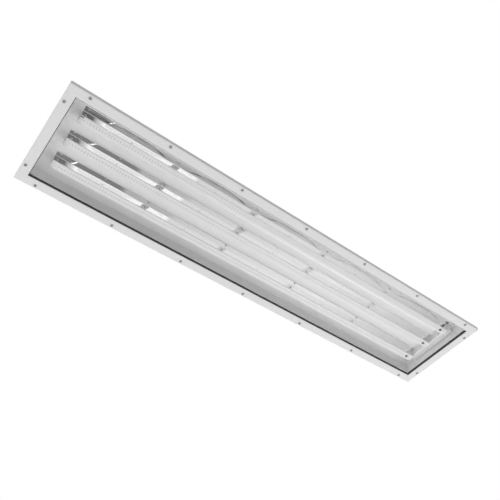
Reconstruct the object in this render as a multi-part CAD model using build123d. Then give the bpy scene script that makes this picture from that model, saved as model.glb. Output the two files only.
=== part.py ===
from build123d import *
import math
import os

# Led high bay light: three rows of led boards on mirror-finished carriers, behind a flat
# clear glass that a screwed frame and a black seal hold against a shallow steel housing.
# Lengths are in millimetres. X runs along the light, Y across it and Z up; it shines down.
# The origin is the middle of the ceiling plane, which the wings of the hanging straps touch.
# Heights named below count upwards from the front face of the frame.

# Frame round the glass
frame_length = 1550.0
frame_width = 340.0
frame_border = 28.5
frame_sheet = 1.5
frame_bend = 0.5
frame_screw_edge = 10.0
side_screw_margin = 59.2
side_screw_count = 7
end_screw_margin = 56.0
end_screw_count = 2
frame_screw_diameter = 4.0
frame_screw_head = 8.4
frame_screw_head_height = 2.4
spacer_diameter = 7.2
spacer_collar_step = 0.8

# Seal and glass
seal_front_lip = 3.0
seal_back_lip = 2.5
seal_web = 2.0
seal_showing = 0.8
spacer_to_seal = 1.4
glass_thickness = 4.0
glass_edge_gap = 0.3
glass_chamfer = 0.5

# Steel housing
sheet = 1.2
bend = 0.8
wall_behind_border = 3.1
pan_depth = 47.5
flange_side_gap = 1.0

# Led carriers and their fasteners
row_count = 3
row_pitch = 82.4
carrier_end_gap = 33.4
carrier_depth = 26.0
carrier_flange = 16.3
carrier_sheet = 1.2
carrier_bend = 0.4
carrier_screw_end = 12.5
carrier_screw_count = 6
carrier_hole_offset = 11.3
carrier_screw_diameter = 3.5
carrier_screw_head = 6.6
carrier_screw_head_height = 1.9
rivet_head = 4.2
rivet_head_height = 0.9
rivet_bevel = 0.5

# Led boards, leds and the caps over the leads
board_length = 280.0
board_joint = 0.5
board_width = 23.8
board_thickness = 1.6
board_side_margin = 0.3
leds_per_board = 31
led_length = 3.5
led_width = 2.8
led_height = 0.7
cap_from_board_end = 18.0
cap_diameter = 8.5
cap_height = 3.0
cap_wall = 1.0
cap_neck = 5.6
cap_clearance = 0.1
cap_to_led = 0.5

# Wire cover at the right end of the carriers
wire_cover_width = 29.2
wire_cover_length = 180.0
wire_cover_depth = 16.8
wire_cover_wall_gap = 4.0
wire_cover_shift = -4.5
wire_port = 8.0
tab_length = 12.0
tab_reach = 11.0
tab_from_middle = 55.0
tab_screw_diameter = 3.0
tab_screw_head = 5.6
tab_screw_head_height = 1.8

# Driver channel on the back and its end plates
channel_width = 140.0
channel_height = 48.8
channel_flange = 15.0
channel_end_gap = 3.2
gasket_thickness = 1.5
gasket_end_width = 6.0
channel_screw_end = 45.0
channel_screw_count = 8
end_plate_return = 12.0
end_plate_gap = 0.2
screw_diameter = 4.0
screw_head = 8.0
screw_head_height = 2.2

# Drivers, terminal block and wires inside the channel
driver_count = 3
driver_end_room = 189.4
driver_gap = 96.0
driver_width = 43.0
driver_height = 30.0
driver_side = 20.0
driver_edge = 3.0
driver_foot = 12.0
driver_foot_sheet = 2.0
wire_diameter = 3.0
wire_bend = 8.0
wire_exit = 12.0
wire_lift = 0.3
wire_straight = 16.0
wire_drop = 10.0
lane_gap = 3.0
lane_pitch = 7.0
terminal_length = 24.0
terminal_height = 22.0
terminal_step = 7.0
terminal_from_end = 82.0
terminal_side = 2.0
earth_from_end = 52.0
earth_side = -40.0
earth_stud_diameter = 5.0
earth_stud_length = 14.0
earth_boss = 1.5
earth_nut_width = 8.0
earth_nut_height = 4.0

# Grommet where the led wires pass through the pan
passage_diameter = 16.0
passage_wall = 2.0
passage_rim = 2.0
passage_rim_height = 1.5
passage_pitch = 3.9
passage_climb = 26.0

# Cable gland in the left end plate
gland_thread = 20.0
gland_bore = 10.0
gland_hexagon = 24.0
gland_collar = 6.0
gland_neck = 18.0
gland_neck_length = 8.0
gland_inside = 9.0
gland_nut_length = 13.5
gland_nut_gap = 0.3
gland_mouth_wall = 2.5
gland_seal_diameter = 15.0
gland_seal_length = 9.0
locknut_height = 4.0

# Hanging straps
strap_from_end = 221.4
strap_width = 40.0
strap_sheet = 3.0
strap_bend = 3.0
strap_rise = 21.0
strap_pad = 120.0
strap_span = 216.0
slot_spacing = 180.0
slot_length = 22.0
slot_width = 9.0
strap_bolt_diameter = 6.0
strap_bolt_spacing = 84.0
strap_bolt_head = 10.0
strap_bolt_head_height = 4.0
strap_nut_height = 5.0
bolt_past_nut = 2.0

# Clearances of all screw holes
thread_gap = 0.1
hole_gap = 0.3

# Heights above the front face of the frame
glass_front = frame_sheet + seal_front_lip
glass_back = glass_front + glass_thickness
flange_front = glass_back + seal_back_lip
flange_back = flange_front + sheet
pan_back = pan_depth + sheet
crown_height = pan_depth - carrier_depth
board_front = crown_height - board_thickness
channel_base = pan_back + gasket_thickness
channel_top = channel_base + channel_height
overall_height = channel_top + strap_rise

# Insets from the outer edge of the frame
seal_outer = frame_screw_edge + spacer_diameter / 2 + spacer_to_seal
seal_inner = frame_border + seal_showing
glass_inset = seal_outer + seal_web + glass_edge_gap
wall_inset = frame_border + wall_behind_border
flange_inset = frame_sheet + flange_side_gap

# Places along and across the light
half_length = frame_length / 2
half_width = frame_width / 2
wall_x = half_length - wall_inset
carrier_half = wall_x - carrier_end_gap
crown_width = board_width + 2 * board_side_margin
board_pitch = board_length + board_joint
board_count = int(2 * carrier_half // board_pitch)
led_pitch = board_pitch / leds_per_board
cap_x = (board_count * board_pitch - board_joint) / 2 - cap_from_board_end
rows = [(i - (row_count - 1) / 2) * row_pitch for i in range(row_count)]
wire_cover_x = wall_x - wire_cover_wall_gap - wire_cover_width
wire_height = pan_depth - wire_cover_depth / 2
passage_x = wire_cover_x + wire_cover_width / 2
channel_half = wall_x + sheet - channel_end_gap
gland_height = channel_base + channel_height / 2
terminal_x = terminal_from_end - channel_half
driver_pitch = (2 * (channel_half - driver_end_room) + driver_gap) / driver_count
driver_length = driver_pitch - driver_gap - 2 * driver_foot
driver_edge_y = driver_side + driver_width / 2
strap_x = channel_half - strap_from_end


def level(height):
    """Z of a height above the front face of the frame."""
    return height - overall_height


def block(x0, x1, y0, y1, h0, h1):
    """A box between two corners, with its heights above the front face."""
    return Pos((x0 + x1) / 2, (y0 + y1) / 2, level((h0 + h1) / 2)) * Box(x1 - x0, y1 - y0, h1 - h0)


def plate(inset, h0, h1):
    """A rectangle one inset inside the frame's outer edge, between two heights."""
    x, y = half_length - inset, half_width - inset
    return block(-x, x, -y, y, h0, h1)


def rod(radius, x, y, h0, h1):
    """An upright cylinder between two heights."""
    return Pos(x, y, level((h0 + h1) / 2)) * Cylinder(radius, h1 - h0)


def rods(radius, places, h0, h1):
    """Upright cylinders at several places, for holes."""
    return [rod(radius, x, y, h0, h1) for x, y in places]


def copies(shape, places, height):
    """Copies of a shape drawn at the origin, as separate solids under one name."""
    return Compound(children=[Pos(x, y, level(height)) * shape for x, y in places])


def hexagon(across_flats):
    """Hexagon of a nut or a bolt head."""
    return RegularPolygon(across_flats / 2, 6, major_radius=False)


def folded(points, thickness, inner_bend, x0, length):
    """A folded sheet along X, from the middle line of its section in Y and height."""
    middle = [(y, level(h)) for y, h in points]
    line = FilletPolyline(*middle, radius=inner_bend + thickness / 2)
    section = Plane.YZ.offset(x0) * trace(line, line_width=thickness)
    return extrude(section, amount=length)


def hat(y, base, crown, width, flange, thickness, inner_bend, reach):
    """A hat section: flanges on the height base, crown at the height crown, reach each way."""
    side = 1 if crown > base else -1
    low, high = base + side * thickness / 2, crown - side * thickness / 2
    wall, edge = (width - thickness) / 2, width / 2 + flange
    points = [(-edge, low), (-wall, low), (-wall, high), (wall, high), (wall, low), (edge, low)]
    return folded([(y + u, h) for u, h in points], thickness, inner_bend, -reach, 2 * reach)


def pan_screw(head, head_height, diameter, length):
    """A pan-head screw at the origin: domed head below the seat, shank going up."""
    rim = 0.45 * head_height
    crown = ThreePointArc((0, -head_height), (0.3 * head, -0.88 * head_height), (head / 2, -rim))
    side = Polyline((head / 2, -rim), (head / 2, 0), (diameter / 2, 0), (diameter / 2, length),
                    (0, length), (0, -head_height))
    return revolve(Plane.XZ * make_face(crown + side), Axis.Z)


def spread(reach, count):
    """Evenly spaced places from minus reach to plus reach."""
    return [-reach + 2 * reach * i / (count - 1) for i in range(count)]


def frame_screw_places():
    """Centres of the screws round the frame."""
    side_y, end_x = half_width - frame_screw_edge, half_length - frame_screw_edge
    along = spread(half_length - side_screw_margin, side_screw_count)
    across = spread(half_width - end_screw_margin, end_screw_count)
    return [(x, s * side_y) for s in (-1, 1) for x in along] + [
        (s * end_x, y) for s in (-1, 1) for y in across]


def carrier_screw_places(y):
    """Centres of one carrier's screws, on both flanges."""
    reach = crown_width / 2 + carrier_hole_offset
    along = spread(carrier_half - carrier_screw_end, carrier_screw_count)
    return [(x, y + s * reach) for s in (-1, 1) for x in along]


def carrier_rivet_places(y):
    """Centres of one carrier's rivets, half way between its screws."""
    reach = crown_width / 2 + carrier_hole_offset
    along = spread(carrier_half - carrier_screw_end, carrier_screw_count)
    middles = [(a + b) / 2 for a, b in zip(along, along[1:])]
    return [(x, y + s * reach) for s in (-1, 1) for x in middles]


def channel_screw_places():
    """Centres of the screws along the driver channel's two flanges."""
    reach = (channel_width + channel_flange) / 2
    along = spread(channel_half - channel_screw_end, channel_screw_count)
    return [(x, s * reach) for s in (-1, 1) for x in along]


def driver_places():
    """Middles of the drivers along X."""
    return [(i - (driver_count - 1) / 2) * driver_pitch for i in range(driver_count)]


def driver_screw_places():
    """Centres of the screws in the feet of the drivers."""
    reach = (driver_length + driver_foot) / 2
    return [(x + s * reach, driver_side) for x in driver_places() for s in (-1, 1)]


def tab_places():
    """Centres of the screws in the wire cover's two tabs."""
    x = wire_cover_x + (sheet + tab_reach) / 2
    return [(x, wire_cover_shift + s * tab_from_middle) for s in (-1, 1)]


def strap_places():
    """Middles of the hanging straps along X."""
    return [-strap_x, strap_x]


def strap_bolt_places():
    """Centres of the bolts that hold the straps to the channel."""
    return [(x, s * strap_bolt_spacing / 2) for x in strap_places() for s in (-1, 1)]


def door_frame():
    """Flat frame with a folded outer lip, screwed on all round the glass."""
    tray = plate(0, 0, flange_back)
    rim = tray.edges().filter_by(Axis.Z) + tray.faces().sort_by(Axis.Z)[0].edges()
    tray = fillet(rim, frame_bend + frame_sheet)
    hollow = plate(frame_sheet, frame_sheet, flange_back + 1)
    rim = hollow.edges().filter_by(Axis.Z) + hollow.faces().sort_by(Axis.Z)[0].edges()
    hollow = fillet(rim, frame_bend)
    opening = plate(frame_border, -1, frame_sheet + 1)
    holes = rods(frame_screw_diameter / 2 + hole_gap, frame_screw_places(), -1, frame_sheet + 1)
    return tray - hollow - opening - holes


def frame_screws():
    """Screws that clamp the frame to the threaded spacers on the housing."""
    screw = pan_screw(frame_screw_head, frame_screw_head_height, frame_screw_diameter, flange_back)
    return copies(screw, frame_screw_places(), 0)


def frame_spacers():
    """Threaded spacers pressed into the flange, which also limit how far the seal is squeezed."""
    body = rod(spacer_diameter / 2, 0, 0, frame_sheet, flange_front)
    collar = rod(spacer_diameter / 2 - spacer_collar_step, 0, 0, flange_front, flange_back)
    bore = rod(frame_screw_diameter / 2 + thread_gap, 0, 0, 0, flange_back + 1)
    spacer = Pos(0, 0, overall_height) * (body + collar - bore)
    return copies(spacer, frame_screw_places(), 0)


def lens_seal():
    """Black seal of channel section pushed round the edge of the glass."""
    ring = plate(seal_outer, frame_sheet, flange_front) - plate(seal_inner, 0, pan_depth)
    return ring - plate(seal_outer + seal_web, glass_front, glass_back)


def lens_glass():
    """Flat toughened glass with ground edges."""
    glass = plate(glass_inset, glass_front, glass_back)
    return chamfer(glass.edges(), glass_chamfer)


def housing():
    """Shallow steel tray, open downwards, with a flange folded outwards round its mouth."""
    body = plate(wall_inset - sheet, flange_front, pan_back)
    rim = body.edges().filter_by(Axis.Z) + body.faces().sort_by(Axis.Z)[-1].edges()
    body = fillet(rim, bend + sheet) + plate(flange_inset, flange_front, flange_back)
    hollow = plate(wall_inset, flange_front, pan_depth)
    rim = hollow.edges().filter_by(Axis.Z) + hollow.faces().sort_by(Axis.Z)[-1].edges()
    body -= fillet(rim, bend)
    mouth = body.faces().sort_by(Axis.Z)[0].inner_wires()[0].edges()
    return fillet(mouth, bend + sheet) - housing_holes()


def housing_holes():
    """Holes for the spacers in the flange, and for the screws and led wires in the pan."""
    collar = spacer_diameter / 2 - spacer_collar_step
    tapped = [p for y in rows for p in carrier_screw_places(y)]
    covered = channel_screw_places() + driver_screw_places()
    through = (pan_depth - 1, pan_back + 1)
    return (rods(collar, frame_screw_places(), flange_front - 1, flange_back + 1)
            + rods(carrier_screw_diameter / 2 + thread_gap, tapped, *through)
            + rods(screw_diameter / 2 + thread_gap, covered, *through)
            + rods(tab_screw_diameter / 2 + hole_gap, tab_places(), *through)
            + rods(passage_diameter / 2, [(passage_x, wire_cover_shift)], *through))


def led_carrier(y):
    """Hat section of mirror-finished sheet: boards on its crown, screws through its flanges."""
    carrier = hat(y, pan_depth, crown_height, crown_width, carrier_flange,
                  carrier_sheet, carrier_bend, carrier_half)
    flange = (pan_depth - carrier_sheet - 1, pan_depth + 1)
    holes = rods(carrier_screw_diameter / 2 + hole_gap, carrier_screw_places(y), *flange)
    neck = rod(cap_neck / 2, cap_x, y, crown_height - 1, crown_height + carrier_sheet + 1)
    return carrier - holes - neck


def carrier_screws():
    """Screws that hold the carriers' flanges to the pan."""
    screw = pan_screw(carrier_screw_head, carrier_screw_head_height, carrier_screw_diameter,
                      carrier_sheet + sheet)
    places = [p for y in rows for p in carrier_screw_places(y)]
    return copies(screw, places, pan_depth - carrier_sheet)


def carrier_rivets():
    """Low rivet heads with a bevelled rim on the flanges, half way between the screws."""
    head = Pos(0, 0, -rivet_head_height / 2) * Cylinder(rivet_head / 2, rivet_head_height)
    head = chamfer(head.edges().sort_by(Axis.Z)[0], rivet_bevel)
    places = [p for y in rows for p in carrier_rivet_places(y)]
    return copies(head, places, pan_depth - carrier_sheet)


def led_board(y, index):
    """One white led board; the last of a row has the hole for its leads."""
    x0 = (index - board_count / 2) * board_pitch + board_joint / 2
    half = board_width / 2
    board = block(x0, x0 + board_length, y - half, y + half, board_front, crown_height)
    return board - rod(cap_neck / 2, cap_x, y, board_front - 1, crown_height + 1)


def led_chips(y):
    """The leds of one row, a single line along its boards with a gap at the lead cap."""
    chip = Box(led_length, led_width, led_height)
    clear = (cap_diameter + led_length) / 2 + cap_to_led
    middles = [(board - (board_count - 1) / 2) * board_pitch for board in range(board_count)]
    along = [middle + x for middle in middles
             for x in spread((leds_per_board - 1) * led_pitch / 2, leds_per_board)]
    places = [(x, y) for x in along if abs(x - cap_x) > clear]
    return copies(chip, places, board_front - led_height / 2)


def lead_caps():
    """Black caps over the soldered leads at the end of each row, snapped into the crown."""
    body = rod(cap_diameter / 2, 0, 0, board_front - cap_height, board_front)
    body = fillet(body.faces().sort_by(Axis.Z)[0].edges(), cap_wall)
    body += rod(cap_neck / 2 - cap_clearance, 0, 0, board_front, crown_height + carrier_sheet)
    hollow = rod(wire_diameter / 2 + hole_gap, 0, 0, board_front + cap_wall - cap_height, pan_depth)
    cap = Pos(0, 0, overall_height) * (body - hollow)
    return copies(cap, [(cap_x, y) for y in rows], 0)


def wire_cover():
    """Folded cover over the wires at the right end, with two tabs that its screws hold."""
    x0, x1 = wire_cover_x, wire_cover_x + wire_cover_width
    y0, y1 = wire_cover_shift - wire_cover_length / 2, wire_cover_shift + wire_cover_length / 2
    h0 = pan_depth - wire_cover_depth
    cover = block(x0, x1, y0, y1, h0, pan_depth)
    cover = fillet(cover.edges().filter_by(Axis.Z) + cover.faces().sort_by(Axis.Z)[0].edges(),
                   bend + sheet)
    inside = block(x0 + sheet, x1 - sheet, y0 + sheet, y1 - sheet, h0 + sheet, pan_depth + 1)
    cover -= fillet(inside.edges().filter_by(Axis.Z) + inside.faces().sort_by(Axis.Z)[0].edges(), bend)
    for x, y in tab_places():
        cover += block(x0, x0 + tab_reach, y - tab_length / 2, y + tab_length / 2,
                       pan_depth - sheet, pan_depth)
    tapped = rods(tab_screw_diameter / 2 + thread_gap, tab_places(), pan_depth - 2 * sheet, pan_depth + 1)
    bore = Cylinder(wire_port / 2, 4 * sheet, rotation=(0, 90, 0))
    ports = [Pos(x0, y + wire_cover_shift, level(wire_height)) * bore for y in rows]
    return cover - tapped - ports


def wire_cover_screws():
    """Screws from the back of the pan into the wire cover's tabs."""
    screw = pan_screw(tab_screw_head, tab_screw_head_height, tab_screw_diameter, 2 * sheet)
    return copies(Rot(180, 0, 0) * screw, tab_places(), pan_back)


def driver_channel():
    """Long channel over the drivers, with a flange along each side."""
    channel = hat(0, channel_base, channel_top, channel_width, channel_flange,
                  sheet, bend, channel_half)
    flange = rods(screw_diameter / 2 + hole_gap, channel_screw_places(),
                  channel_base - 1, channel_base + sheet + 1)
    top = rods(strap_bolt_diameter / 2 + hole_gap, strap_bolt_places(),
               channel_top - sheet - 1, channel_top + 1)
    drill = Cylinder(screw_diameter / 2 + hole_gap, channel_width + 2, rotation=(90, 0, 0))
    sides = [Pos(x, 0, level(h)) * drill for x, h in end_plate_screw_places()]
    return channel - flange - top - sides


def channel_gasket():
    """Foam ring under the channel's flanges and under its end plates."""
    outer, inner = channel_width / 2 + channel_flange, channel_width / 2 - sheet
    end = channel_half - gasket_end_width
    ring = block(-channel_half, channel_half, -outer, outer, pan_back, channel_base)
    ring -= block(-end, end, -inner, inner, pan_back - 1, channel_base + 1)
    return ring - rods(screw_diameter / 2 + hole_gap, channel_screw_places(),
                       pan_back - 1, channel_base + 1)


def channel_screws():
    """Screws through the channel's flanges into the pan."""
    screw = pan_screw(screw_head, screw_head_height, screw_diameter,
                      sheet + gasket_thickness + sheet)
    return copies(Rot(180, 0, 0) * screw, channel_screw_places(), channel_base + sheet)


def end_plate_screw_places():
    """X and height of the two screws in each side of each end plate."""
    x = channel_half - end_plate_return / 2
    return [(s * x, channel_base + channel_height * part) for s in (-1, 1) for part in (0.3, 0.7)]


def rounded_end(shape, radius):
    """Rounds the upper corners of an upright box and the edges of its right face, not its foot."""
    along = shape.edges().filter_by(Axis.X).group_by(Axis.Z)[-1]
    face = shape.faces().sort_by(Axis.X)[-1].edges().sort_by(Axis.Z)[1:]
    return fillet(along + face, radius)


def end_plate_right():
    """Plate that closes the right end of the channel, folded back on three sides."""
    half = channel_width / 2 - sheet - end_plate_gap
    top = channel_top - sheet - end_plate_gap
    x0 = channel_half - end_plate_return
    tray = rounded_end(block(x0, channel_half, -half, half, channel_base, top), bend + sheet)
    inside = block(x0 - 1, channel_half - sheet, sheet - half, half - sheet,
                   channel_base - 1, top - sheet)
    drill = Cylinder(screw_diameter / 2 + thread_gap, channel_width, rotation=(90, 0, 0))
    drilled = [Pos(x, 0, level(h)) * drill for x, h in end_plate_screw_places()]
    return tray - rounded_end(inside, bend) - drilled


def end_plate_left():
    """The same plate turned round for the left end, with the hole for the cable gland."""
    return Rot(0, 0, 180) * end_plate_right() - gland_turned(gland_thread / 2 + thread_gap, -sheet - 1, 1)


def end_plate_screws():
    """Screws through the channel's sides into the end plates."""
    screw = pan_screw(screw_head, screw_head_height, screw_diameter, 2 * sheet + end_plate_gap)
    return Compound(children=[Pos(x, t * channel_width / 2, level(h)) * Rot(t * 90, 0, 0) * screw
                              for t in (-1, 1) for x, h in end_plate_screw_places()])


def gland_shape(sketch, start, end):
    """Part of the gland between two distances outwards from the left end plate's face."""
    at_plate = Plane(origin=(-channel_half - start, 0, level(gland_height)), z_dir=(-1, 0, 0))
    return extrude(at_plate * sketch, amount=end - start)


def gland_turned(radius, start, end):
    """Round part of the gland, or a bore through it."""
    return gland_shape(Circle(radius), start, end)


def cable_gland():
    """Gland body: hexagon collar, threaded shank through the plate and neck for the nut."""
    front = gland_collar + gland_neck_length
    body = gland_shape(hexagon(gland_hexagon), 0, gland_collar)
    body += gland_turned(gland_thread / 2, -gland_inside, 0)
    body += gland_turned(gland_neck / 2, gland_collar, front)
    body -= gland_turned(gland_seal_diameter / 2, gland_collar, front + 1)
    return body - gland_turned(gland_bore / 2, -gland_inside - 1, front + 1)


def gland_nut():
    """Domed nut that squeezes the gland's seal round the supply cord."""
    start, end = gland_collar + gland_nut_gap, gland_collar + gland_nut_gap + gland_nut_length
    nut = gland_shape(hexagon(gland_hexagon), start, end)
    dome = gland_turned(gland_hexagon / 2 + 1, start, end)
    dome = fillet(dome.faces().sort_by(Axis.X)[0].edges(), gland_hexagon / 4)
    nut = nut & dome
    nut -= gland_turned(gland_neck / 2 + thread_gap, start - 1, end - gland_mouth_wall)
    return nut - gland_turned(gland_bore / 2, start, end + 1)


def gland_seal():
    """Rubber sleeve that the gland's nut squeezes round the supply cord."""
    sleeve = gland_turned(gland_seal_diameter / 2 - thread_gap, gland_collar,
                          gland_collar + gland_seal_length)
    return sleeve - gland_turned(gland_bore / 2, 0, gland_collar + gland_seal_length + 1)


def gland_locknut():
    """Nut on the gland's shank, inside the end plate."""
    nut = gland_shape(hexagon(gland_hexagon), -sheet - locknut_height, -sheet)
    return nut - gland_turned(gland_thread / 2 + thread_gap, -gland_inside, 0)


def led_driver(x):
    """Led driver: long metal case with a foot at each end for its screw."""
    half, width = driver_length / 2, driver_width / 2
    case = block(x - half, x + half, driver_side - width, driver_side + width,
                 pan_back, pan_back + driver_height)
    case = fillet(case.edges().filter_by(Axis.X), driver_edge)
    reach, foot = half + driver_foot, width - 2 * driver_edge
    feet = block(x - reach, x + reach, driver_side - foot, driver_side + foot,
                 pan_back, pan_back + driver_foot_sheet)
    return case + feet - rods(screw_diameter / 2 + hole_gap, driver_screw_places(),
                              pan_back - 1, pan_back + driver_foot_sheet + 1)


def driver_screws():
    """Screws through the feet of the drivers into the pan."""
    screw = pan_screw(screw_head, screw_head_height, screw_diameter, driver_foot_sheet + sheet)
    return copies(Rot(180, 0, 0) * screw, driver_screw_places(), pan_back + driver_foot_sheet)


def supply_lane(index):
    """Y of one driver's supply wire, beside the drivers."""
    return driver_edge_y + lane_gap + index * lane_pitch


def terminal_block():
    """Terminal block with one way for each driver: a wire port in its side, a screw well above."""
    y0 = supply_lane(0) - lane_pitch / 2 - terminal_side
    y1 = supply_lane(driver_count - 1) + lane_pitch / 2 + terminal_side
    x0, x1 = terminal_x - terminal_length / 2, terminal_x + terminal_length / 2
    top = pan_back + terminal_height
    body = block(x0, x1, y0, y1, pan_back, top - terminal_step)
    body += block(x0 + terminal_step, x1 - terminal_step, y0, y1, pan_back, top)
    port = Cylinder(wire_diameter / 2 + hole_gap, terminal_length / 2, rotation=(0, 90, 0))
    well = Cylinder(wire_diameter, terminal_step)
    for i in range(driver_count):
        body -= Pos(x0, supply_lane(i), level(pan_back + wire_exit)) * port
        body -= Pos(terminal_x, supply_lane(i), level(top)) * well
    return body


def earth_stud():
    """Threaded earth stud welded to the pan, with its round boss."""
    x = earth_from_end - channel_half
    stud = rod(earth_stud_diameter / 2, x, earth_side, pan_back, pan_back + earth_stud_length)
    return stud + rod(earth_stud_diameter, x, earth_side, pan_back, pan_back + earth_boss)


def earth_nut():
    """Nut on the earth stud."""
    ring = hexagon(earth_nut_width) - Circle(earth_stud_diameter / 2 + thread_gap)
    nut = extrude(ring, amount=earth_nut_height)
    return Pos(earth_from_end - channel_half, earth_side, level(pan_back + earth_boss)) * nut


def wire(points, name):
    """A round wire along straight runs joined by arcs; prints its bends and how true it is."""
    path = FilletPolyline(*[(x, y, level(h)) for x, y, h in points], radius=wire_bend)
    section = Plane(origin=path @ 0, z_dir=path % 0) * Circle(wire_diameter / 2)
    solid = sweep(section, path=path)
    true_share = solid.volume / (math.pi * wire_diameter ** 2 / 4 * path.length)
    print(f"{name}: {path.length:.0f} mm, bends of {wire_bend:g} mm, volume share {true_share:.4f}")
    return solid


def supply_wires():
    """Wires from the terminal block to the left end of each driver, lying on the pan between."""
    high, low = pan_back + wire_exit, pan_back + wire_diameter / 2 + wire_lift
    wires = []
    for i, middle in enumerate(driver_places()):
        lane = supply_lane(i)
        start, end = terminal_x + terminal_length / 2, middle - driver_length / 2
        down, up = start + wire_straight, end - driver_foot - wire_straight
        points = [(start, lane, high), (down, lane, high), (down + wire_drop, lane, low),
                  (up - 2 * wire_straight, lane, low), (up - wire_straight, driver_side, low),
                  (up, driver_side, high), (end, driver_side, high)]
        wires.append(wire(points, f"supply wire {i + 1}"))
    return Compound(children=wires)


def led_wires(index):
    """Wire from one driver through the pan and the wire cover to the lead cap of its row."""
    row = rows[index]
    start = driver_places()[index] + driver_length / 2
    lane = driver_side - driver_width / 2 - lane_gap - (driver_count - index) * lane_pitch
    entry = wire_cover_shift + (index - (driver_count - 1) / 2) * passage_pitch
    port = row + wire_cover_shift
    high, low = pan_back + wire_exit, pan_back + wire_diameter / 2 + wire_lift
    down = start + driver_foot + wire_straight
    climb = passage_x - passage_climb
    points = [(start, driver_side, high), (down, driver_side, high), (down + wire_drop, driver_side, low),
              (down + wire_drop + wire_straight, lane, low), (climb - wire_drop, lane, low),
              (climb, lane, high), (passage_x, entry, high), (passage_x, entry, wire_height)]
    if row != 0:
        points.append((passage_x, port, wire_height))
    points += [(carrier_half - wire_drop / 2, port, wire_height), (cap_x, row, wire_height),
               (cap_x, row, board_front)]
    return wire(points, f"led wire {index + 1}")


def passage_grommet():
    """Grommet in the pan where the led wires pass from the channel to the wire cover."""
    outer = passage_diameter / 2
    place = (passage_x, wire_cover_shift)
    bush = rod(outer + passage_rim, *place, pan_depth - passage_rim_height, pan_depth)
    bush += rod(outer + passage_rim, *place, pan_back, pan_back + passage_rim_height)
    bush += rod(outer - thread_gap, *place, pan_depth, pan_back)
    return bush - rod(outer - passage_wall, *place, flange_back, channel_top)


def hanging_strap(x):
    """Folded strap across the channel, with a slotted wing on each side for a ceiling rod."""
    low, high = channel_top + strap_sheet / 2, overall_height - strap_sheet / 2
    leg, tip = (strap_pad - strap_sheet) / 2, strap_span / 2
    points = [(-tip, high), (-leg, high), (-leg, low), (leg, low), (leg, high), (tip, high)]
    strap = folded(points, strap_sheet, strap_bend, x - strap_width / 2, strap_width)
    slot = extrude(SlotOverall(slot_length, slot_width), amount=2 * strap_sheet, both=True)
    strap -= [Pos(x, s * slot_spacing / 2, 0) * slot for s in (-1, 1)]
    return strap - rods(strap_bolt_diameter / 2 + hole_gap, strap_bolt_places(),
                        channel_top - 1, channel_top + strap_sheet + 1)


def strap_bolts():
    """Hexagon bolts through the straps and the top of the channel."""
    length = strap_sheet + sheet + strap_nut_height + bolt_past_nut
    bolt = extrude(hexagon(strap_bolt_head), amount=strap_bolt_head_height)
    bolt += extrude(Circle(strap_bolt_diameter / 2), amount=-length)
    return copies(bolt, strap_bolt_places(), channel_top + strap_sheet)


def strap_nuts():
    """Nuts of the strap bolts, under the top of the channel."""
    ring = hexagon(strap_bolt_head) - Circle(strap_bolt_diameter / 2 + thread_gap)
    return copies(extrude(ring, amount=-strap_nut_height), strap_bolt_places(), channel_top - sheet)


def sub_parts():
    """Every sub-part by name."""
    parts = {
        "door_frame": door_frame(),
        "frame_screws": frame_screws(),
        "frame_spacers": frame_spacers(),
        "lens_seal": lens_seal(),
        "lens_glass": lens_glass(),
        "housing": housing(),
        "carrier_screws": carrier_screws(),
        "carrier_rivets": carrier_rivets(),
        "lead_caps": lead_caps(),
        "wire_cover": wire_cover(),
        "wire_cover_screws": wire_cover_screws(),
        "driver_channel": driver_channel(),
        "channel_gasket": channel_gasket(),
        "channel_screws": channel_screws(),
        "end_plate_left": end_plate_left(),
        "end_plate_right": end_plate_right(),
        "end_plate_screws": end_plate_screws(),
        "cable_gland": cable_gland(),
        "gland_nut": gland_nut(),
        "gland_seal": gland_seal(),
        "gland_locknut": gland_locknut(),
        "driver_screws": driver_screws(),
        "terminal_block": terminal_block(),
        "earth_stud": earth_stud(),
        "earth_nut": earth_nut(),
        "supply_wires": supply_wires(),
        "passage_grommet": passage_grommet(),
        "strap_bolts": strap_bolts(),
        "strap_nuts": strap_nuts(),
    }
    for number, y in enumerate(rows, 1):
        parts[f"led_carrier_{number}"] = led_carrier(y)
        parts[f"led_chips_{number}"] = led_chips(y)
        for index in range(board_count):
            parts[f"led_board_{number}_{index + 1}"] = led_board(y, index)
    for number, x in enumerate(driver_places(), 1):
        parts[f"led_driver_{number}"] = led_driver(x)
        parts[f"led_wires_{number}"] = led_wires(number - 1)
    for number, x in enumerate(strap_places(), 1):
        parts[f"hanging_strap_{number}"] = hanging_strap(x)
    return parts


os.makedirs("parts", exist_ok=True)
for name, shape in sub_parts().items():
    export_step(shape, f"parts/{name}.step")
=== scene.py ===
import math

import bmesh
import bpy
from mathutils import Matrix, Vector

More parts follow.
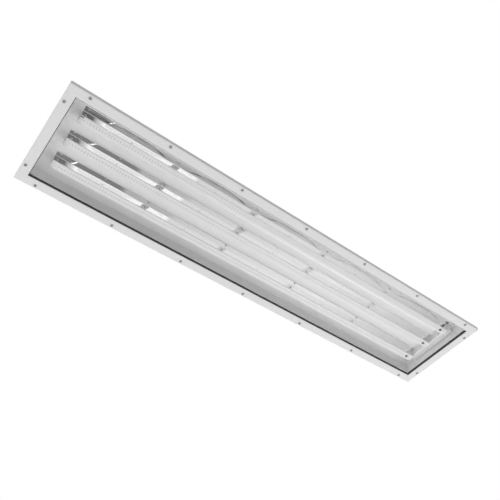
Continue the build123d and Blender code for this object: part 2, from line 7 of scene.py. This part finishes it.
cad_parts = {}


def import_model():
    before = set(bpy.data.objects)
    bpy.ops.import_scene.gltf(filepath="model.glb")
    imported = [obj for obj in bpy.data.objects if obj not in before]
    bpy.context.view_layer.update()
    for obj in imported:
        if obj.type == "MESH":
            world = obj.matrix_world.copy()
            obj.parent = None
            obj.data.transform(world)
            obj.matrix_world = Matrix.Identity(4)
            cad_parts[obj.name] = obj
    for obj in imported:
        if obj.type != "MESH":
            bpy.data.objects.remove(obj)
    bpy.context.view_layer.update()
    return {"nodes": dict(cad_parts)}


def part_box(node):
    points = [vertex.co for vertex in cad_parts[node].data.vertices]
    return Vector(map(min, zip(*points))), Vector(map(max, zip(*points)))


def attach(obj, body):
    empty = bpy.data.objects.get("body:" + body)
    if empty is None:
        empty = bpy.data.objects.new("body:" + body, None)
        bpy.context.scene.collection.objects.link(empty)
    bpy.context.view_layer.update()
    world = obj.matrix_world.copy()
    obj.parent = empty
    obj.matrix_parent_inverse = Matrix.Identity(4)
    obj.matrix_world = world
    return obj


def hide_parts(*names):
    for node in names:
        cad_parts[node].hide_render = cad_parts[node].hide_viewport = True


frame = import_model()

# Led high bay light, seen from below as in the photograph. Lengths are in metres, in the
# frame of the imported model: X runs along the light, Z goes up to the ceiling.
mm = 0.001

# Fasteners and margins, as the source makes them
carrier_sheet = 1.2 * mm
carrier_screw_head = 6.6 * mm
carrier_screw_head_height = 1.9 * mm
frame_screw_head = 8.4 * mm
frame_screw_head_height = 2.4 * mm
back_screw_head = 8.0 * mm
back_screw_head_height = 2.2 * mm
board_side_margin = 0.3 * mm
frame_border = 28.5 * mm
seal_front_lip = 3.0 * mm
seal_showing = 0.8 * mm

# Details of the scene alone: the seal's rounded lip, the copper lands and the leds' windows
lip_bulge = 1.2 * mm
lip_root = 0.3 * mm
lip_steps = 6
land_half_width = 1.9 * mm
land_half_length = 5.2 * mm
land_edge = 0.25 * mm
window_rim = 0.45 * mm
window_depth = 0.12 * mm

# Screws, as shares of the head's width or height. Each one turns on by the same angle.
shank_share = 0.48
head_rim = 0.45
head_steps = 6
head_sides = 32
recess_slot = 0.13
recess_reach = 0.26
recess_depth = 0.55
recess_mouth = 1.1
recess_floor = 0.55
screw_turn = math.radians(37)
screw_sharp = math.radians(35)

# Mirror sheet of the carriers. Its front is where the source has it, and it is a little
# thinner at the back, so that its flanges have room to bow out between their screws and to
# dip at them. Each carrier's walls lean by a few more or fewer tenths of a degree.
mirror_thickness = 1.0 * mm
mirror_bend = 0.5 * mm
mirror_step = 3.0 * mm
mirror_sharp = math.radians(40)
bend_steps = 5
bend_ease = 0.3 * mm
wall_lean = {1: 1.45, 2: 1.04, 3: 0.61}
bow_tilt = 0.0062
bow_share = 0.74
bow_flatness = 3.3
dent_tilt = 0.020
dent_width = 12.5 * mm
dent_reach = 18.0 * mm

# Between these values lies most of a noise
noise_low, noise_high = 0.3, 0.7

# The photograph's camera, solved from the corners of the frame
camera_place = Vector((-0.856, -0.918, -1.600))
camera_right = Vector((0.79884, -0.60018, -0.04044))
camera_up = Vector((-0.44720, -0.63750, 0.62737))
camera_lens = 44.92
camera_sensor = 36.0


def islands(node):
    """Boxes round the separate solids of one node's mesh, each a pair of corners."""
    mesh = frame["nodes"][node].data
    parent = {}

    def root(key):
        while parent[key] != key:
            parent[key] = parent[parent[key]]
            key = parent[key]
        return key

    keys = [tuple(round(c, 6) for c in v.co) for v in mesh.vertices]
    for key in keys:
        parent.setdefault(key, key)
    for edge in mesh.edges:
        a, b = (root(keys[i]) for i in edge.vertices)
        parent[a] = b
    boxes = {}
    for key in set(keys):
        low, high = boxes.setdefault(root(key), ([math.inf] * 3, [-math.inf] * 3))
        for i in range(3):
            low[i] = min(low[i], key[i])
            high[i] = max(high[i], key[i])
    return sorted((Vector(low), Vector(high)) for low, high in boxes.values())


def piece(name, mesh, *materials):
    """An object of the light from a bmesh, riding on the body."""
    data = bpy.data.meshes.new(name)
    mesh.to_mesh(data)
    mesh.free()
    for material in materials:
        data.materials.append(material)
    made = bpy.data.objects.new(name, data)
    bpy.context.scene.collection.objects.link(made)
    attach(made, "root")
    return made


class Shader:
    """Node tree of one material, with short calls for the nodes used here."""

    def __init__(self, name):
        self.material = bpy.data.materials.new(name)
        self.material.use_nodes = True
        self.tree = self.material.node_tree
        self.tree.nodes.clear()
        self.place = self.add("ShaderNodeTexCoord").outputs["Object"]

    def add(self, kind, values=None, **settings):
        node = self.tree.nodes.new(kind)
        for key, value in settings.items():
            setattr(node, key, value)
        for key, value in (values or {}).items():
            if isinstance(value, bpy.types.NodeSocket):
                self.tree.links.new(value, node.inputs[key])
            else:
                node.inputs[key].default_value = value
        return node

    def stretched(self, scale):
        values = {"Vector": self.place, "Scale": scale}
        return self.add("ShaderNodeMapping", values).outputs["Vector"]

    def noise(self, scale, detail=2.0, stretch=None):
        place = self.stretched(stretch) if stretch else self.place
        values = {"Vector": place, "Scale": scale, "Detail": detail}
        return self.add("ShaderNodeTexNoise", values).outputs["Fac"]

    def cells(self, scale):
        values = {"Vector": self.place, "Scale": scale}
        return self.add("ShaderNodeTexVoronoi", values).outputs["Color"]

    def span(self, value, low, high):
        values = {"Value": value, "From Min": noise_low, "From Max": noise_high,
                  "To Min": low, "To Max": high}
        return self.add("ShaderNodeMapRange", values).outputs["Result"]

    def grey(self, value, low, high):
        """A grey that follows a value, from one level to another."""
        level = self.span(value, low, high)
        values = {"Red": level, "Green": level, "Blue": level}
        return self.add("ShaderNodeCombineColor", values).outputs["Color"]

    def bump(self, height, distance, strength=1.0):
        values = {"Height": height, "Distance": distance, "Strength": strength}
        return self.add("ShaderNodeBump", values).outputs["Normal"]

    def finish(self, shader):
        output = self.add("ShaderNodeOutputMaterial")
        self.tree.links.new(shader, output.inputs["Surface"])
        return self.material

    def surface(self, **values):
        values = {key.replace("_", " ").title(): value for key, value in values.items()}
        if "Ior" in values:
            values["IOR"] = values.pop("Ior")
        return self.finish(self.add("ShaderNodeBsdfPrincipled", values).outputs["BSDF"])


def powder_coat(name, tone):
    """Smooth white powder coat: faint orange peel and a little unevenness of tone."""
    s = Shader(name)
    uneven = 0.012
    peel = s.noise(900.0, 2.0)
    return s.surface(base_color=s.grey(s.noise(3.0, 4.0), tone - uneven, tone + uneven),
                     roughness=s.span(s.noise(40.0, 4.0), 0.38, 0.48),
                     normal=s.bump(peel, 0.00004))


def metal(name, low, high, rough_low, rough_high, scale, stretch=None):
    """A metal whose tone and roughness follow one grain."""
    s = Shader(name)
    grain = s.noise(scale, 4.0, stretch)
    return s.surface(base_color=s.grey(grain, low, high), metallic=1.0,
                     roughness=s.span(grain, rough_low, rough_high),
                     normal=s.bump(grain, 0.00002))


def mirror_sheet(name):
    """Mirror-finished aluminium with faint rolling lines along the sheet."""
    s = Shader(name)
    lines = s.noise(900.0, 3.0, (0.02, 1.0, 1.0))
    waves = s.noise(9.0, 1.0)
    return s.surface(base_color=s.grey(lines, 0.885, 0.915), metallic=1.0,
                     roughness=s.span(lines, 0.008, 0.020),
                     normal=s.bump(waves, 0.00003, 0.5))


def plated(name, tone, rough):
    """Zinc plating with its spangle."""
    s = Shader(name)
    tone_play, rough_play = 0.05, 0.06
    cells = s.cells(130.0)
    return s.surface(base_color=s.grey(cells, tone - tone_play, tone + tone_play), metallic=1.0,
                     roughness=s.span(s.noise(300.0, 3.0), rough - rough_play, rough + rough_play),
                     normal=s.bump(cells, 0.00001))


def plastic(name, low, high, rough, grain=700.0):
    """Moulded plastic or rubber with a fine grain."""
    s = Shader(name)
    rough_play = 0.06
    fine = s.noise(grain, 3.0)
    return s.surface(base_color=s.grey(s.noise(60.0, 3.0), low, high),
                     roughness=s.span(fine, rough - rough_play, rough + rough_play),
                     normal=s.bump(fine, 0.00005))


def board_mask(name):
    """White solder mask, with the copper lands across the board under each led showing."""
    s = Shader(name)
    gap_tone, land_tone = 0.865, 0.78
    leds = [(low + high) / 2 for low, high in islands("led_chips_2")]
    first, second = sorted({round(led.x, 5) for led in leds})[:2]
    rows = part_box("led_board_3_1")[0].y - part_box("led_board_2_1")[0].y
    place = s.add("ShaderNodeSeparateXYZ", {"Vector": s.place}).outputs
    land = None
    for axis, start, period, half in (("X", first, second - first, land_half_width),
                                      ("Y", leds[0].y, rows, land_half_length)):
        past = s.add("ShaderNodeMath", {0: place[axis], 1: start}, operation="SUBTRACT")
        away = s.add("ShaderNodeMath", {0: past.outputs["Value"], 1: period / 2},
                     operation="PINGPONG")
        edge = s.add("ShaderNodeMapRange", {"Value": away.outputs["Value"],
                                            "From Min": half + land_edge,
                                            "From Max": half - land_edge})
        near = edge.outputs["Result"]
        if land is not None:
            both = s.add("ShaderNodeMath", {0: land, 1: near}, operation="MULTIPLY")
            near = both.outputs["Value"]
        land = near
    values = {"Value": land, "To Min": gap_tone, "To Max": land_tone}
    tone = s.add("ShaderNodeMapRange", values).outputs["Result"]
    fine = s.noise(500.0, 2.0)
    uneven = s.add("ShaderNodeMath", {0: tone, 1: s.span(fine, 0.985, 1.015)}, operation="MULTIPLY")
    level = uneven.outputs["Value"]
    colour = s.add("ShaderNodeCombineColor", {"Red": level, "Green": level, "Blue": level})
    return s.surface(base_color=colour.outputs["Color"], roughness=s.span(fine, 0.42, 0.52),
                     normal=s.bump(land, 0.00003))


def pane(name):
    """Clear glass that lets lamps through. Its front mirrors for both of its faces."""
    s = Shader(name)
    both_faces = 1.9
    glass_ior = 1.5
    fresnel = s.add("ShaderNodeFresnel", {"IOR": glass_ior}).outputs["Fac"]
    behind = s.add("ShaderNodeNewGeometry").outputs["Backfacing"]
    front = s.add("ShaderNodeMath", {0: behind, 1: -both_faces, 2: both_faces},
                  operation="MULTIPLY_ADD")
    share = s.add("ShaderNodeMath", {0: fresnel, 1: front.outputs["Value"]}, operation="MULTIPLY")
    clear = s.add("ShaderNodeBsdfTransparent", {"Color": (0.99, 0.99, 0.99, 1)})
    shine = s.add("ShaderNodeBsdfGlossy", {"Roughness": s.span(s.noise(25.0, 5.0), 0.0, 0.03)})
    mixed = s.add("ShaderNodeMixShader",
                  {0: share.outputs["Value"], 1: clear.outputs[0], 2: shine.outputs[0]})
    return s.finish(mixed.outputs["Shader"])


paint = powder_coat("paint_frame", 0.73)
# Painted light: the housing, its covers and its channels take the frame's white powder coat at a
# higher tone, so the recessed pan and walls inside read brighter than the light reaching them makes
# them.
housing_paint_painted_light = powder_coat("paint_housing_painted_light", 0.88)
mirror = mirror_sheet("mirror_sheet")
dark_screw = metal("screw_steel", 0.32, 0.44, 0.28, 0.42, 260.0)
inner_screw = metal("screw_steel_inner", 0.46, 0.58, 0.36, 0.50, 260.0)
bright_steel = metal("spacer_steel", 0.55, 0.68, 0.24, 0.36, 260.0)
zinc = plated("zinc_steel", 0.66, 0.36)
rubber = plastic("black_rubber", 0.055, 0.080, 0.62)
moulded = plastic("black_plastic", 0.028, 0.042, 0.40)
grey_moulded = plastic("grey_plastic", 0.50, 0.58, 0.45)
insulation = plastic("wire_insulation", 0.78, 0.86, 0.42)
foam = plastic("foam", 0.06, 0.12, 0.85, 350.0)
satin = metal("driver_case", 0.66, 0.76, 0.30, 0.40, 500.0, (0.05, 1.0, 1.0))
mask = board_mask("board_mask")
package = plastic("led_package", 0.76, 0.82, 0.35)
phosphor = plastic("led_phosphor", 0.44, 0.52, 0.30)
glass = pane("clear_glass")

node_materials = {
    "door_frame": paint, "frame_spacers": bright_steel, "lens_seal": rubber,
    "lens_glass": glass, "housing": housing_paint_painted_light, "carrier_rivets": bright_steel,
    "lead_caps": moulded, "wire_cover": housing_paint_painted_light, "wire_cover_screws": zinc,
    "driver_channel": housing_paint_painted_light, "channel_gasket": foam, "end_plate": housing_paint_painted_light,
    "cable_gland": moulded, "gland_nut": moulded, "gland_seal": rubber, "gland_locknut": moulded,
    "driver_screws": zinc, "terminal_block": grey_moulded, "earth_stud": zinc,
    "earth_nut": zinc, "supply_wires": insulation, "passage_grommet": rubber, "strap_bolts": zinc,
    "strap_nuts": zinc, "frame_screws": dark_screw, "carrier_screws": inner_screw,
    "channel_screws": zinc, "end_plate_screws": zinc, "led_carrier": mirror, "led_board": mask,
    "led_chips": package, "led_driver": satin, "led_wires": insulation, "hanging_strap": zinc,
}


def dress_nodes():
    """Gives every node the material whose key its name starts with."""
    for name, node in frame["nodes"].items():
        key = max((k for k in node_materials if name.startswith(k)), key=len)
        node.data.materials.clear()
        node.data.materials.append(node_materials[key])


def rounded(points, radius, ease):
    """A line through the points with round corners. A point at a small ease past both ends
    of each arc makes the flat stretches shade flat."""
    line = [points[0]]
    for before, corner, after in zip(points, points[1:], points[2:]):
        into, onward = (before - corner).normalized(), (after - corner).normalized()
        half = into.angle(onward) / 2
        start = corner + into * radius / math.tan(half)
        end = corner + onward * radius / math.tan(half)
        middle = corner + (into + onward).normalized() * radius / math.sin(half)
        line.append(start + into * ease)
        for i in range(bend_steps + 1):
            spoke = (start - middle).slerp(end - middle, i / bend_steps)
            line.append(middle + spoke * radius)
        line.append(end + onward * ease)
    return line + [points[-1]]


def divided(line, longest):
    """The same line with its long stretches divided."""
    fine = [line[0]]
    for one, two in zip(line, line[1:]):
        count = max(1, math.ceil((two - one).length / longest))
        fine += [one.lerp(two, i / count) for i in range(1, count + 1)]
    return fine


def carrier_profile(crown_half, base_half, edge_half, flange_z, crown_z):
    """Middle line of a carrier's section as (y, z), from edge to edge."""
    low, high = flange_z - mirror_thickness / 2, crown_z + mirror_thickness / 2
    inside = mirror_thickness / 2
    corners = [Vector((-edge_half, low)), Vector((inside - base_half, low)),
               Vector((inside - crown_half, high))]
    corners += [Vector((-p.x, p.y)) for p in reversed(corners)]
    return divided(rounded(corners, mirror_bend + inside, bend_ease), mirror_step)


def flange_lift(x, reach, fasteners):
    """How far a flange stands out at a place along it and a reach from the wall."""
    pitch = fasteners[1] - fasteners[0]
    along = min(max((x - fasteners[0]) / pitch, 0.0), len(fasteners) - 1.0)
    from_middle = abs(along % 1.0 - 0.5) * 2
    bow = max(0.0, 1 - (from_middle / bow_share) ** bow_flatness)
    nearest = min(abs(x - place) for place in fasteners)
    dent = math.exp(-(nearest / dent_width) ** 2)
    return bow_tilt * bow * reach - dent_tilt * dent * (reach - reach * reach / (2 * dent_reach))


def mirror_carrier(number):
    """A carrier of thin mirror sheet whose flanges bow out between their screws."""
    node = f"led_carrier_{number}"
    low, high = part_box(node)
    board_low, board_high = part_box(f"led_board_{number}_1")
    y = (low.y + high.y) / 2
    crown_half = (board_high.y - board_low.y) / 2 + board_side_margin
    base_half = crown_half + (high.z - low.z) * math.tan(math.radians(wall_lean[number]))
    front_flange = high.z - carrier_sheet + mirror_thickness
    profile = carrier_profile(crown_half, base_half, high.y - y, front_flange, low.z)
    fasteners = sorted({round((a.x + b.x) / 2, 5) for a, b in islands("carrier_screws")})
    count = round((high.x - low.x) / mirror_step)
    mesh = bmesh.new()
    rings = []
    for i in range(count + 1):
        x = low.x + (high.x - low.x) * i / count
        front, back = [], []
        for j, place in enumerate(profile):
            along = profile[min(j + 1, len(profile) - 1)] - profile[max(j - 1, 0)]
            across = Vector((0, along.y, -along.x)).normalized() * mirror_thickness / 2
            reach = max(abs(place.x) - base_half, 0.0)
            point = Vector((x, y + place.x, place.y - flange_lift(x, reach, fasteners)))
            front.append(mesh.verts.new(point + across))
            back.append(mesh.verts.new(point - across))
        rings.append(front + back[::-1])
    for one, two in zip(rings, rings[1:]):
        for j in range(len(one)):
            k = (j + 1) % len(one)
            mesh.faces.new((one[j], one[k], two[k], two[j]))
    mesh.faces.new(rings[0][::-1])
    mesh.faces.new(rings[-1])
    bmesh.ops.recalc_face_normals(mesh, faces=mesh.faces)
    for face in mesh.faces:
        face.smooth = len(face.verts) == 4
    made = piece(f"mirror_carrier_{number}", mesh, mirror)
    made.data.set_sharp_from_angle(angle=mirror_sharp)
    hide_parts(node)


def seal_lip():
    """The rounded lip of the seal, which bulges a little into the frame's opening."""
    frame_low, frame_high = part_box("door_frame")
    half_x = (frame_high.x - frame_low.x) / 2 - frame_border - seal_showing
    half_y = (frame_high.y - frame_low.y) / 2 - frame_border - seal_showing
    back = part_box("lens_glass")[0].z
    front = back - seal_front_lip
    profile = [(-lip_root, front), (0.0, front)]
    for i in range(1, lip_steps):
        turn = math.radians(180 * i / lip_steps)
        profile.append((lip_bulge * math.sin(turn),
                        (front + back) / 2 - seal_front_lip / 2 * math.cos(turn)))
    profile += [(0.0, back), (-lip_root, back)]
    mesh = bmesh.new()
    rings = [[mesh.verts.new((a * (half_x - inset), b * (half_y - inset), z))
              for a, b in ((1, 1), (-1, 1), (-1, -1), (1, -1))] for inset, z in profile]
    for one, two in zip(rings, rings[1:] + rings[:1]):
        for j in range(4):
            k = (j + 1) % 4
            mesh.faces.new((one[j], one[k], two[k], two[j]))
    bmesh.ops.recalc_face_normals(mesh, faces=mesh.faces)
    piece("seal_lip", mesh, rubber)


def cross_cutter(width, reach, depth, top):
    """Cross-shaped tapered cutter for a screw head's recess, pointing down from its top."""
    mesh = bmesh.new()
    rings = []
    for z, scale in ((top + depth, recess_mouth), (top - depth, recess_floor)):
        w, r = width / 2 * scale, reach * scale
        outline = [(r, -w), (r, w), (w, w), (w, r), (-w, r), (-w, w),
                   (-r, w), (-r, -w), (-w, -w), (-w, -r), (w, -r), (w, -w)]
        rings.append([mesh.verts.new((x, y, z)) for x, y in outline])
    for j in range(12):
        k = (j + 1) % 12
        mesh.faces.new((rings[1][j], rings[1][k], rings[0][k], rings[0][j]))
    mesh.faces.new(rings[0])
    mesh.faces.new(rings[1][::-1])
    bmesh.ops.recalc_face_normals(mesh, faces=mesh.faces)
    return mesh


def turned(profile, segments):
    """A solid of revolution about Z from points (radius, z) that start and end on the axis."""
    mesh = bmesh.new()
    rings = []
    for r, z in profile:
        if r == 0:
            rings.append([mesh.verts.new((0, 0, z))])
        else:
            angles = [math.tau * i / segments for i in range(segments)]
            rings.append([mesh.verts.new((r * math.cos(a), r * math.sin(a), z)) for a in angles])
    for one, two in zip(rings, rings[1:]):
        for i in range(segments):
            k = (i + 1) % segments
            corners = [one[i % len(one)], one[k % len(one)], two[k % len(two)], two[i % len(two)]]
            mesh.faces.new(list(dict.fromkeys(corners)))
    bmesh.ops.recalc_face_normals(mesh, faces=mesh.faces)
    return mesh


def pan_head(head, height, shank, length):
    """Mesh of a pan-head screw with a cross recess: head up from the seat, shank down."""
    rim = head_rim * height
    dome = [(0.0, height)]
    for i in range(1, head_steps + 1):
        turn = math.radians(90 * i / head_steps)
        dome.append((head / 2 * math.sin(turn), rim + (height - rim) * math.cos(turn)))
    profile = dome + [(head / 2, 0.0), (shank / 2, 0.0), (shank / 2, -length), (0.0, -length)]
    solid = piece("screw_blank", turned(profile, head_sides))
    cross = cross_cutter(recess_slot * head, recess_reach * head, recess_depth * height, height)
    cutter = piece("screw_cutter", cross)
    cut = solid.modifiers.new("recess", "BOOLEAN")
    cut.operation, cut.object, cut.solver = "DIFFERENCE", cutter, "EXACT"
    depsgraph = bpy.context.evaluated_depsgraph_get()
    shape = bpy.data.meshes.new_from_object(solid.evaluated_get(depsgraph))
    for helper in (solid, cutter):
        bpy.data.objects.remove(helper)
    return shape


def screws(node, head, height, outward, material):
    """Screws with cross recesses at every place of one node, each turned a little differently."""
    places = islands(node)
    low, high = places[0]
    direction = outward((low + high) / 2)
    axis = max(range(3), key=lambda i: abs(direction[i]))
    whole = (high - low)[axis]
    shape = pan_head(head, height, shank_share * head, whole - height)
    mesh = bmesh.new()
    for count, (low, high) in enumerate(places):
        middle = (low + high) / 2
        direction = outward(middle)
        seat = middle + direction * ((high - low)[axis] / 2 - height)
        turn = direction.to_track_quat("Z", "Y").to_matrix().to_4x4()
        spin = Matrix.Rotation(screw_turn * count, 4, "Z")
        start = len(mesh.verts)
        mesh.from_mesh(shape)
        mesh.verts.ensure_lookup_table()
        bmesh.ops.transform(mesh, matrix=Matrix.Translation(seat) @ turn @ spin,
                            verts=mesh.verts[start:])
    for face in mesh.faces:
        face.smooth = True
    made = piece(f"{node}_detailed", mesh, material)
    made.data.set_sharp_from_angle(angle=screw_sharp)
    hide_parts(node)


def led_packages(number):
    """Leds of one row: a white package with a sunken phosphor window."""
    node = f"led_chips_{number}"
    mesh = bmesh.new()
    rim = window_rim
    for low, high in islands(node):
        outer = [(low.x, low.y), (high.x, low.y), (high.x, high.y), (low.x, high.y)]
        inner = [(low.x + rim, low.y + rim), (high.x - rim, low.y + rim),
                 (high.x - rim, high.y - rim), (low.x + rim, high.y - rim)]
        back = [mesh.verts.new((x, y, high.z)) for x, y in outer]
        front = [mesh.verts.new((x, y, low.z)) for x, y in outer]
        lip = [mesh.verts.new((x, y, low.z)) for x, y in inner]
        well = [mesh.verts.new((x, y, low.z + window_depth)) for x, y in inner]
        for one, two in ((back, front), (front, lip), (lip, well)):
            for j in range(4):
                k = (j + 1) % 4
                mesh.faces.new((one[j], one[k], two[k], two[j]))
        mesh.faces.new(back[::-1])
        window = mesh.faces.new(well)
        window.material_index = 1
    bmesh.ops.recalc_face_normals(mesh, faces=mesh.faces)
    made = piece(f"led_packages_{number}", mesh, package, phosphor)
    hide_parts(node)


def outward_down(_):
    return Vector((0, 0, -1))


def outward_up(_):
    return Vector((0, 0, 1))


def outward_side(middle):
    return Vector((0, 1 if middle.y > 0 else -1, 0))


def stage_sheet(name, near, far, material):
    """A flat sheet of the studio between two lines of points, which isn't part of the light."""
    mesh = bmesh.new()
    near = [mesh.verts.new(p) for p in near]
    far = [mesh.verts.new(p) for p in far]
    for i in range(len(near) - 1):
        mesh.faces.new((near[i], near[i + 1], far[i + 1], far[i]))
    data = bpy.data.meshes.new(name)
    mesh.to_mesh(data)
    mesh.free()
    data.materials.append(material)
    made = bpy.data.objects.new(name, data)
    bpy.context.scene.collection.objects.link(made)
    return made


def panel(name, layer, y0, y1, levels, lean=0.0):
    """A studio panel that only mirrors and gloss see. Its brightness is given at places
    along X, and its far side may be moved along X."""
    s = Shader(name)
    level = s.add("ShaderNodeAttribute", attribute_name="level").outputs["Fac"]
    light = s.add("ShaderNodeEmission", {"Color": (1, 1, 1, 1), "Strength": level})
    z = panel_z + panel_gap * layer
    near = [(x, y0, z) for x, _ in levels]
    far = [(x + lean, y1, z) for x, _ in levels]
    made = stage_sheet(name, near, far, s.finish(light.outputs["Emission"]))
    brightness = made.data.attributes.new("level", "FLOAT", "POINT")
    brightness.data.foreach_set("value", [value for _, value in levels] * 2)
    made.visible_camera = made.visible_diffuse = made.visible_shadow = False
    made.visible_transmission = made.visible_volume_scatter = False


def floor():
    """Plain pale floor far below the light."""
    s = Shader("floor_pale")
    fine = s.noise(6.0, 3.0)
    half = 12.0
    near = [(-half, -half, floor_z), (half, -half, floor_z)]
    far = [(-half, half, floor_z), (half, half, floor_z)]
    stage_sheet("floor", near, far, s.surface(base_color=s.grey(fine, 0.79, 0.81), roughness=0.8))


def lamp(name, place, target, size_x, size_y, level):
    """A soft area lamp of one radiance, seen by no mirror."""
    data = bpy.data.lights.new(name, "AREA")
    data.shape = "RECTANGLE"
    data.size, data.size_y = size_x, size_y
    data.energy = 4 * level * size_x * size_y
    made = bpy.data.objects.new(name, data)
    made.location = place
    made.rotation_euler = (Vector(target) - Vector(place)).to_track_quat("-Z", "Y").to_euler()
    made.visible_glossy = False
    bpy.context.scene.collection.objects.link(made)


def world(ambient):
    """White to the camera and to mirrors and glass, a plain soft level to everything else."""
    made = bpy.data.worlds.new("studio")
    bpy.context.scene.world = made
    made.use_nodes = True
    tree = made.node_tree
    tree.nodes.clear()
    rays = tree.nodes.new("ShaderNodeLightPath")
    seen = rays.outputs["Is Camera Ray"]
    for ray in ("Is Glossy Ray", "Is Transmission Ray"):
        both = tree.nodes.new("ShaderNodeMath")
        both.operation = "MAXIMUM"
        tree.links.new(seen, both.inputs[0])
        tree.links.new(rays.outputs[ray], both.inputs[1])
        seen = both.outputs["Value"]
    level = tree.nodes.new("ShaderNodeMapRange")
    level.inputs["To Min"].default_value = ambient
    level.inputs["To Max"].default_value = 1.0
    tree.links.new(seen, level.inputs["Value"])
    sky = tree.nodes.new("ShaderNodeBackground")
    sky.inputs["Color"].default_value = (1, 1, 1, 1)
    tree.links.new(level.outputs["Result"], sky.inputs["Strength"])
    output = tree.nodes.new("ShaderNodeOutputWorld")
    tree.links.new(sky.outputs["Background"], output.inputs["Surface"])


def camera():
    """The camera at the photograph's place, angle and lens."""
    data = bpy.data.cameras.new("camera")
    data.sensor_width = camera_sensor
    data.lens = camera_lens
    made = bpy.data.objects.new("camera", data)
    view = camera_right.cross(camera_up)
    turn = Matrix((camera_right, camera_up, view)).transposed()
    made.matrix_world = Matrix.Translation(camera_place) @ turn.to_4x4()
    bpy.context.scene.collection.objects.link(made)
    bpy.context.scene.camera = made


dress_nodes()
seal_lip()
for number in (1, 2, 3):
    mirror_carrier(number)
    led_packages(number)
screws("frame_screws", frame_screw_head, frame_screw_head_height, outward_down,
       dark_screw)
screws("carrier_screws", carrier_screw_head, carrier_screw_head_height, outward_down,
       inner_screw)
screws("channel_screws", back_screw_head, back_screw_head_height, outward_up, zinc)
screws("end_plate_screws", back_screw_head, back_screw_head_height, outward_side,
       zinc)

# Studio. The flanges and walls of the carriers throw the camera's view back past it, to
# panels on a level below. Each panel has a layer, its two sides' y, and its brightness at
# places along X. They get darker to the left, as the mirrors in the photograph do.
floor_z = -3.2
panel_z = -2.4
panel_gap = 0.001
floor()
panel("panel_wide", 0, -6.0, -1.12, [(-6.0, 0.7), (9.0, 0.7)])

# Seen in the walls, and in the flanges' dips at the screws
panel("panel_walls", 1, -1.60, -1.43, [(-2.0, 0.13), (-0.41, 0.13), (-0.325, 1.3), (0.43, 1.3),
                                       (0.46, 0.9), (1.4, 1.0), (2.2, 0.85), (4.0, 0.4)])
panel("panel_wall_middle", 2, -1.512, -1.478, [(-0.31, 1.05), (0.40, 1.05)])
panel("flag_screws", 2, -1.75, -1.565, [(-2.0, 0.13), (-0.42, 0.13), (0.2, 0.42), (0.95, 0.6),
                                        (1.7, 0.75), (4.0, 0.75)])

# Seen in the flanges by way of the walls. The dark rail makes the arcs of the first row.
panel("panel_near_row", 1, -1.24, -1.05, [(-2.0, 0.16), (-0.35, 0.16), (-0.26, 0.43), (0.4, 0.47),
                                          (1.0, 0.56), (1.9, 0.83), (2.9, 0.68), (4.0, 0.5)])
panel("panel_far_rows", 1, -1.43, -1.24, [(-2.0, 0.17), (0.02, 0.19), (0.07, 0.52), (0.43, 0.58),
                                          (0.5, 0.75), (1.3, 0.9), (1.9, 1.05), (2.9, 0.65),
                                          (4.0, 0.5)])
rail = [(-0.34, 0.02), (0.25, 0.03), (0.9, 0.12), (1.3, 0.3), (2.0, 0.5), (2.7, 0.33), (3.2, 0.3)]
panel("rail_near", 3, -1.1985, -1.1887, rail)

# Seen in the bends, in the glass, and in the flanges alone near their edges
panel("panel_bend", 0, -1.05, 0.79, [(-6.0, 0.95), (9.0, 0.95)])
panel("pane_panel", 0, 0.8, 2.0, [(-1.0, 0.65), (0.3, 0.75), (1.6, 1.35), (2.3, 1.3), (3.3, 0.85)])
panel("panel_rim", 1, 1.06, 1.18, [(-2.0, 0.1), (-0.35, 0.1), (-0.26, 0.5), (0.4, 0.55),
                                   (1.0, 0.62), (1.9, 0.85), (2.9, 0.68), (4.0, 0.5)])
panel("rail_rim", 2, 1.1557, 1.1628, rail)

# Bright streaks in the dark ends of the flanges
glint_half, glint_level = 0.008, 2.2
for name, x, y0, y1, lean in (("glint_1", -0.309, -1.198, -1.186, 0.020),
                              ("glint_1_rim", -0.291, 1.152, 1.143, 0.022),
                              ("glint_2", -0.348, -1.293, -1.255, 0.045),
                              ("glint_3", -0.3745, -1.372, -1.334, 0.027)):
    panel(name, 4, y0, y1, [(x - glint_half, glint_level), (x + glint_half, glint_level)], lean)

middle = (0, 0, 0)
lamp("key", (-2.0, 1.6, -2.8), middle, 5.0, 5.0, 1.28)
lamp("fill", (2.6, 1.0, -2.8), middle, 4.0, 4.0, 1.75)
lamp("top", (0.4, 0.6, 2.6), middle, 4.0, 4.0, 0.6)
world(0.46)

scene = bpy.context.scene
scene.view_settings.view_transform = "Standard"
camera()
